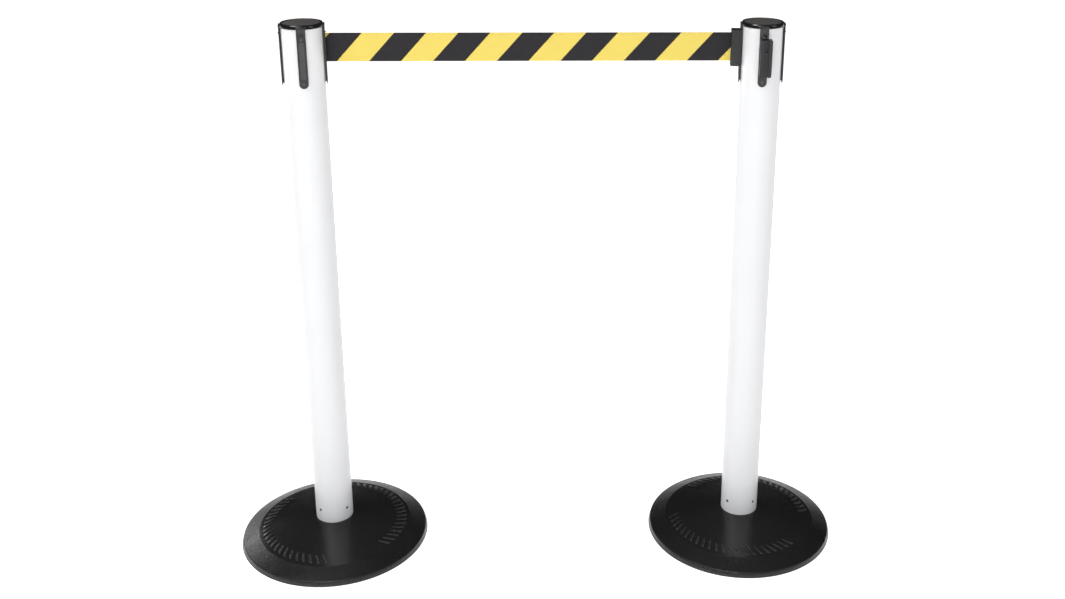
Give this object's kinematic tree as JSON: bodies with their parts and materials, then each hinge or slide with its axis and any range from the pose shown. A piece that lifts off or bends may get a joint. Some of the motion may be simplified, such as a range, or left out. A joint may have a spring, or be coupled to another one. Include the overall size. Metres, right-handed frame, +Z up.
{
  "type": "retractable belt stanchion",
  "caption": "Free-standing posts joined by a retractable striped webbing belt, with weighted domed bases, side receiver rails and spring-wound belt cassettes.",
  "frame": {"origin": "on the floor, midway between the two posts", "axes": "+X from the left post to the right post along the belt, -Y the front, +Z up"},
  "size_m": [1.144, 0.354, 1.007],
  "materials": {
    "floor_rubber": "matt moulded rubber",
    "base_iron": "rough cast",
    "cover_black": "fine-grained moulded black with a low sheen",
    "steel": "zinc plated",
    "rivet_steel": "plain blind rivet",
    "white_paint": "smooth white powder coat",
    "black_steel": "black oxide",
    "gloss_black": "polished moulding",
    "matt_black": "matt moulding",
    "cassette_plastic": "moulded nylon",
    "spool_plastic": "moulded acetal",
    "belt_webbing": "woven polyester webbing in black and yellow stripes",
    "spring_steel": "blued strip",
    "brake_zinc": "die-cast zinc",
    "rail_black": "satin moulding",
    "end_black": "satin moulding"
  },
  "bodies": {
    "root": {"left_floor_ring": "floor_rubber", "left_base_weight": "base_iron", "left_base_cover": "cover_black", "left_tie_washer": "steel", "left_tie_bolt": "steel", "left_tube_socket": "steel", "left_base_rivets": "rivet_steel", "left_tube": "white_paint", "left_rail_screws": "black_steel", "left_head_ring": "gloss_black", "left_top_cap": "matt_black", "left_cassette_body": "cassette_plastic", "left_cassette_lid": "cassette_plastic", "left_spool_axle": "steel", "left_axle_screw": "steel", "left_guide_pins": "steel", "left_power_spring": "spring_steel", "left_belt": "belt_webbing", "left_rail_inner": "rail_black", "left_rail_back": "rail_black", "left_rail_outer": "rail_black", "left_rail_front": "rail_black"},
    "left_spool_body": {"left_spool": "spool_plastic", "left_belt_roll": "belt_webbing"},
    "left_shoe_a_body": {"left_brake_shoe_a": "brake_zinc"},
    "left_shoe_b_body": {"left_brake_shoe_b": "brake_zinc"},
    "right_post": {"right_floor_ring": "floor_rubber", "right_base_weight": "base_iron", "right_base_cover": "cover_black", "right_tie_washer": "steel", "right_tie_bolt": "steel", "right_tube_socket": "steel", "right_base_rivets": "rivet_steel", "right_tube": "white_paint", "right_rail_screws": "black_steel", "right_head_ring": "gloss_black", "right_top_cap": "matt_black", "right_cassette_body": "cassette_plastic", "right_cassette_lid": "cassette_plastic", "right_spool_axle": "steel", "right_axle_screw": "steel", "right_guide_pins": "steel", "right_power_spring": "spring_steel", "right_belt": "belt_webbing", "right_rail_inner": "rail_black", "right_rail_back": "rail_black", "right_rail_outer": "rail_black", "right_rail_front": "rail_black"},
    "left_belt_end_body": {"left_belt_end": "end_black", "left_belt_pin": "steel", "left_detent_clip": "spring_steel"},
    "right_belt_end_body": {"right_belt_end": "end_black", "right_belt_pin": "steel", "right_detent_clip": "spring_steel"},
    "right_spool_body": {"right_spool": "spool_plastic", "right_belt_roll": "belt_webbing"},
    "right_shoe_a_body": {"right_brake_shoe_a": "brake_zinc"},
    "right_shoe_b_body": {"right_brake_shoe_b": "brake_zinc"}
  },
  "joints": [
    {"name": "post_spacing", "type": "slide", "parent": "root", "child": "right_post", "axis": [1, 0, 0], "range_m": [-0.43, 1.5], "deforming": ["left_belt"]},
    {"name": "left_spool_spin", "type": "hinge", "parent": "root", "child": "left_spool_body", "pos_m": [-0.395, 0, 0.95], "axis": [0, 0, -1], "range_deg": [-1376, 4800], "deforming": ["left_power_spring", "left_belt"]},
    {"name": "left_end_unhook", "type": "slide", "parent": "right_post", "child": "left_belt_end_body", "axis": [0, 0, -1], "range_m": [0, 0.095], "deforming": ["left_belt", "left_detent_clip"]},
    {"name": "right_belt_pull", "type": "slide", "parent": "right_post", "child": "right_belt_end_body", "axis": [-0.0872, -0.9962, 0], "range_m": [0, 2.15], "stiffness_N_per_m": 3, "springref_m": -1.5, "deforming": ["right_belt"]},
    {"name": "right_spool_spin", "type": "hinge", "parent": "right_post", "child": "right_spool_body", "pos_m": [0.395, 0, 0.95], "axis": [0, 0, -1], "range_deg": [0, 6880.1], "deforming": ["right_power_spring", "right_belt"]},
    {"name": "left_shoe_a_slide", "type": "slide", "parent": "left_spool_body", "child": "left_shoe_a_body", "axis": [0.9914, 0.1305, 0], "range_m": [0, 0.0008], "stiffness_N_per_m": 400, "springref_m": -0.0005},
    {"name": "left_shoe_b_slide", "type": "slide", "parent": "left_spool_body", "child": "left_shoe_b_body", "axis": [-0.9914, -0.1305, 0], "range_m": [0, 0.0008], "stiffness_N_per_m": 400, "springref_m": -0.0005},
    {"name": "right_shoe_a_slide", "type": "slide", "parent": "right_spool_body", "child": "right_shoe_a_body", "axis": [0.9962, -0.0872, 0], "range_m": [0, 0.0008], "stiffness_N_per_m": 400, "springref_m": -0.0005},
    {"name": "right_shoe_b_slide", "type": "slide", "parent": "right_spool_body", "child": "right_shoe_b_body", "axis": [-0.9962, 0.0872, 0], "range_m": [0, 0.0008], "stiffness_N_per_m": 400, "springref_m": -0.0005}
  ],
  "couplings": [
    {"joint": "left_spool_spin", "follows": "post_spacing", "rad_per_m": 55.298},
    {"joint": "right_spool_spin", "follows": "right_belt_pull", "rad_per_m": 55.298},
    {"joint": "left_shoe_b_slide", "follows": "left_shoe_a_slide", "ratio": 1},
    {"joint": "right_shoe_b_slide", "follows": "right_shoe_a_slide", "ratio": 1}
  ]
}
